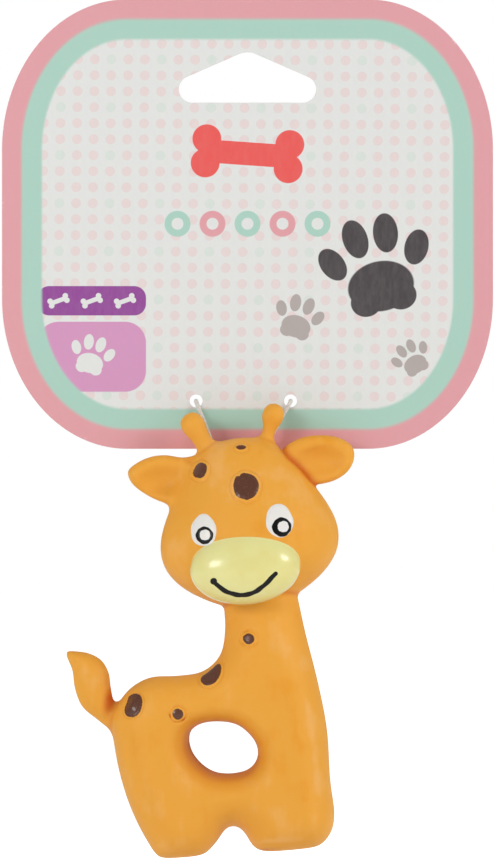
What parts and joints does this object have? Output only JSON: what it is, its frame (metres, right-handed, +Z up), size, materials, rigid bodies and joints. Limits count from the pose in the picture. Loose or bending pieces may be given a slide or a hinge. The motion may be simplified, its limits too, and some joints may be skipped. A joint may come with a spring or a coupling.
{
  "type": "latex dog toy",
  "caption": "Hollow latex squeaky dog toy shaped like a young giraffe, hanging by an elastic tie from a rounded hang card with a delta slot.",
  "frame": {"origin": "apex of the hang slot, in the middle plane of the hang card; the toy hangs below it", "axes": "+Z up along the hanging height, +X to the right seen from the front, the printed front and the toy's face look along -Y"},
  "size_m": [0.1404, 0.0422, 0.2455],
  "materials": {
    "card": "printed card with pink and mint bands, faint sheen",
    "elastic": "milky translucent elastic, satin",
    "latex": "satin orange latex, faintly marbled, painted in gloss",
    "squeaker_plastic": "moulded white plastic",
    "reed_plastic": "moulded natural plastic",
    "reed_film": "thin film"
  },
  "bodies": {
    "card": {"hang_card": "card", "tie_knot": "elastic"},
    "tie": {"tie_cord": "elastic"},
    "toy": {"latex_skin": "latex", "squeaker_cup": "squeaker_plastic", "squeaker_cap": "squeaker_plastic", "reed_shoe": "reed_plastic"},
    "reed": {"reed_tongue": "reed_film"}
  },
  "joints": [
    {"name": "tie_swing", "type": "hinge", "parent": "card", "child": "tie", "pos_m": [0, 0, -0.1001], "axis": [-1, 0, 0], "range_deg": [0, 45]},
    {"name": "toy_nod", "type": "hinge", "parent": "tie", "child": "toy", "pos_m": [0, -0.0056, -0.1142], "axis": [-1, 0, 0], "range_deg": [0, 15]},
    {"name": "reed_flutter", "type": "hinge", "parent": "toy", "child": "reed", "pos_m": [0.0058, -0.00252, -0.18055], "axis": [0.9976, 0, 0.0698], "range_deg": [-4, 4], "stiffness_Nm_per_rad": 0.00002}
  ]
}
